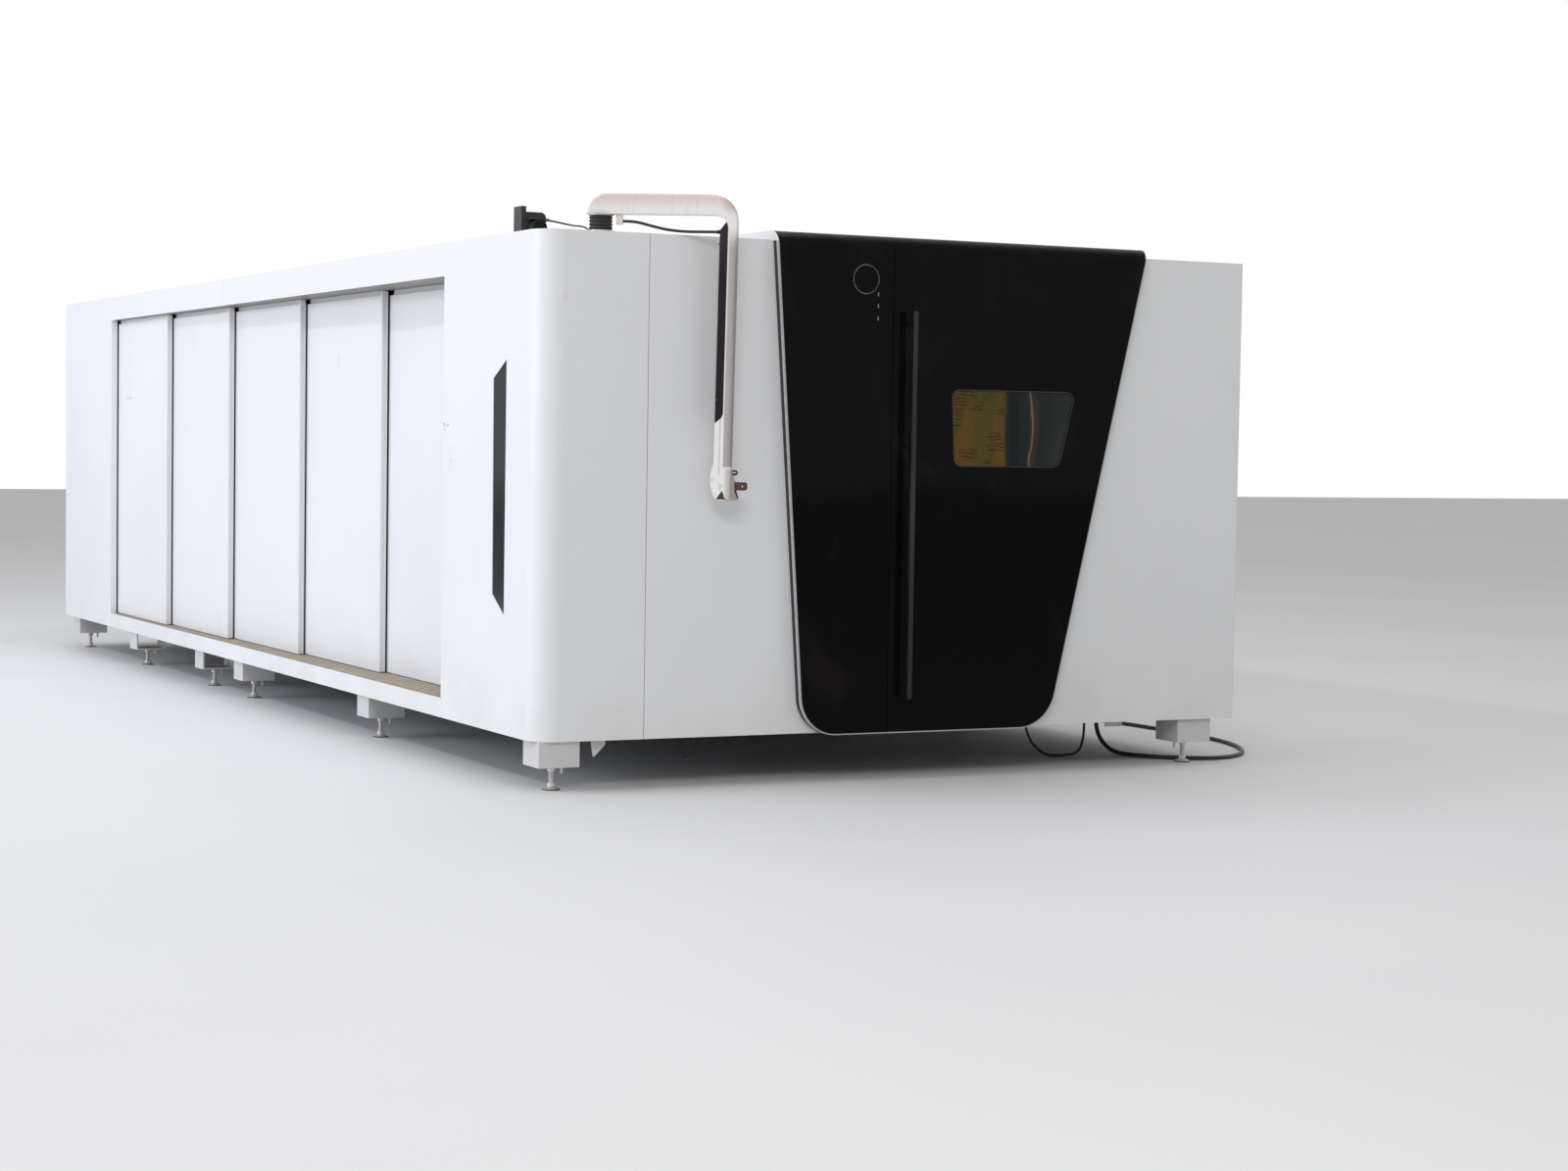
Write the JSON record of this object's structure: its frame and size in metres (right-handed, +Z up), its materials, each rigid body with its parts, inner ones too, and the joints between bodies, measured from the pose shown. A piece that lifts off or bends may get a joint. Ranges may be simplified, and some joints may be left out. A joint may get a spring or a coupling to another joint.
{
  "type": "enclosed gantry laser cutting machine",
  "caption": "Long white enclosed laser cutting machine with a black slanted sliding-door front, amber window, telescoping side panels, inner gantry and a console swing arm on the roof.",
  "frame": {"origin": "centre of the front-left levelling foot's pad where it stands on the floor", "axes": "+X to the machine's right along its short front side, +Y along its length to the rear, +Z up"},
  "size_m": [3.9855, 8.7633, 2.465],
  "materials": {
    "white_panel": "satin",
    "black_fascia": "gloss",
    "edge_trim": "satin",
    "amber_window": "gloss",
    "dark_window": "gloss",
    "dark_metal": "satin",
    "light_cap": "gloss",
    "frame_paint": "satin",
    "foot_paint": "satin",
    "zinc": "satin",
    "ground_steel": "satin",
    "mild_steel": "matte",
    "aluminium": "satin",
    "cabinet_paint": "satin",
    "runner_plastic": "matte",
    "arm_paint": "satin",
    "boot_rubber": "matte",
    "black_plastic": "matte",
    "bracket_paint": "matte",
    "cord_rubber": "matte",
    "plug_plastic": "matte"
  },
  "bodies": {
    "casing": {"corner_cover": "white_panel", "front_left_panel": "white_panel", "door_portal": "white_panel", "front_right_panel": "white_panel", "side_front_beam": "white_panel", "side_rear_panel": "white_panel", "side_sill_rail": "white_panel", "side_panel_1": "white_panel", "right_side_panels": "white_panel", "rear_panel": "white_panel", "roof_front_panel": "white_panel", "roof_rear_panel": "white_panel", "fixed_leaf": "black_fascia", "fixed_leaf_trim": "edge_trim", "slot_window": "dark_window", "status_lights": "light_cap", "enclosure_frame": "frame_paint", "bed_frame": "frame_paint", "table_frame": "frame_paint", "slag_tray": "frame_paint", "foot_blocks": "foot_paint", "levelling_studs": "zinc", "levelling_nuts": "zinc", "foot_pads": "zinc", "gantry_rails": "ground_steel", "door_rails": "ground_steel", "magnet_tracks": "ground_steel", "slats": "mild_steel", "side_tracks": "aluminium", "control_cabinet": "cabinet_paint", "laser_source": "cabinet_paint", "arm_base": "arm_paint", "arm_boot": "boot_rubber", "roof_camera": "black_plastic", "cable_glands": "black_plastic", "supply_cable": "cord_rubber", "supply_cable_coil": "cord_rubber", "supply_cable_tail": "cord_rubber", "air_hose": "cord_rubber", "camera_cord": "cord_rubber", "supply_plug": "plug_plastic"},
    "door": {"door_leaf": "black_fascia", "door_trim": "edge_trim", "door_window": "amber_window", "door_handle": "dark_metal", "door_runners": "runner_plastic"},
    "side_2": {"side_panel_2": "white_panel"},
    "side_3": {"side_panel_3": "white_panel"},
    "side_4": {"side_panel_4": "white_panel"},
    "side_5": {"side_panel_5": "white_panel"},
    "gantry": {"gantry_beam": "frame_paint", "gantry_trucks": "aluminium"},
    "carriage": {"cross_carriage": "aluminium"},
    "cutting_unit": {"z_slide": "aluminium", "cutting_head": "aluminium"},
    "arm": {"arm_shell": "arm_paint", "arm_cable_cover": "black_plastic", "arm_tip": "arm_paint", "arm_cord": "cord_rubber", "console_clevis": "bracket_paint"}
  },
  "joints": [
    {"name": "door_slide", "type": "slide", "parent": "casing", "child": "door", "axis": [1, 0, 0], "range_m": [0, 0.56]},
    {"name": "side_5_slide", "type": "slide", "parent": "casing", "child": "side_5", "axis": [0, 1, 0], "range_m": [0, 4.84]},
    {"name": "side_4_slide", "type": "slide", "parent": "casing", "child": "side_4", "axis": [0, 1, 0], "range_m": [0, 3.615]},
    {"name": "side_3_slide", "type": "slide", "parent": "casing", "child": "side_3", "axis": [0, 1, 0], "range_m": [0, 2.41]},
    {"name": "side_2_slide", "type": "slide", "parent": "casing", "child": "side_2", "axis": [0, 1, 0], "range_m": [0, 1.205]},
    {"name": "gantry_slide", "type": "slide", "parent": "casing", "child": "gantry", "axis": [0, 1, 0], "range_m": [-6.1, 0]},
    {"name": "carriage_slide", "type": "slide", "parent": "gantry", "child": "carriage", "axis": [1, 0, 0], "range_m": [-0.96, 0.96]},
    {"name": "head_lift", "type": "slide", "parent": "carriage", "child": "cutting_unit", "axis": [0, 0, 1], "range_m": [-0.16, 0.05]},
    {"name": "arm_swing", "type": "hinge", "parent": "casing", "child": "arm", "pos_m": [0.21, 0.04, 2.4], "axis": [0, 0, 1], "range_deg": [-150, 5]}
  ],
  "couplings": [
    {"joint": "side_4_slide", "follows": "side_5_slide", "ratio": 0.7469},
    {"joint": "side_3_slide", "follows": "side_5_slide", "ratio": 0.4979},
    {"joint": "side_2_slide", "follows": "side_5_slide", "ratio": 0.24896}
  ]
}
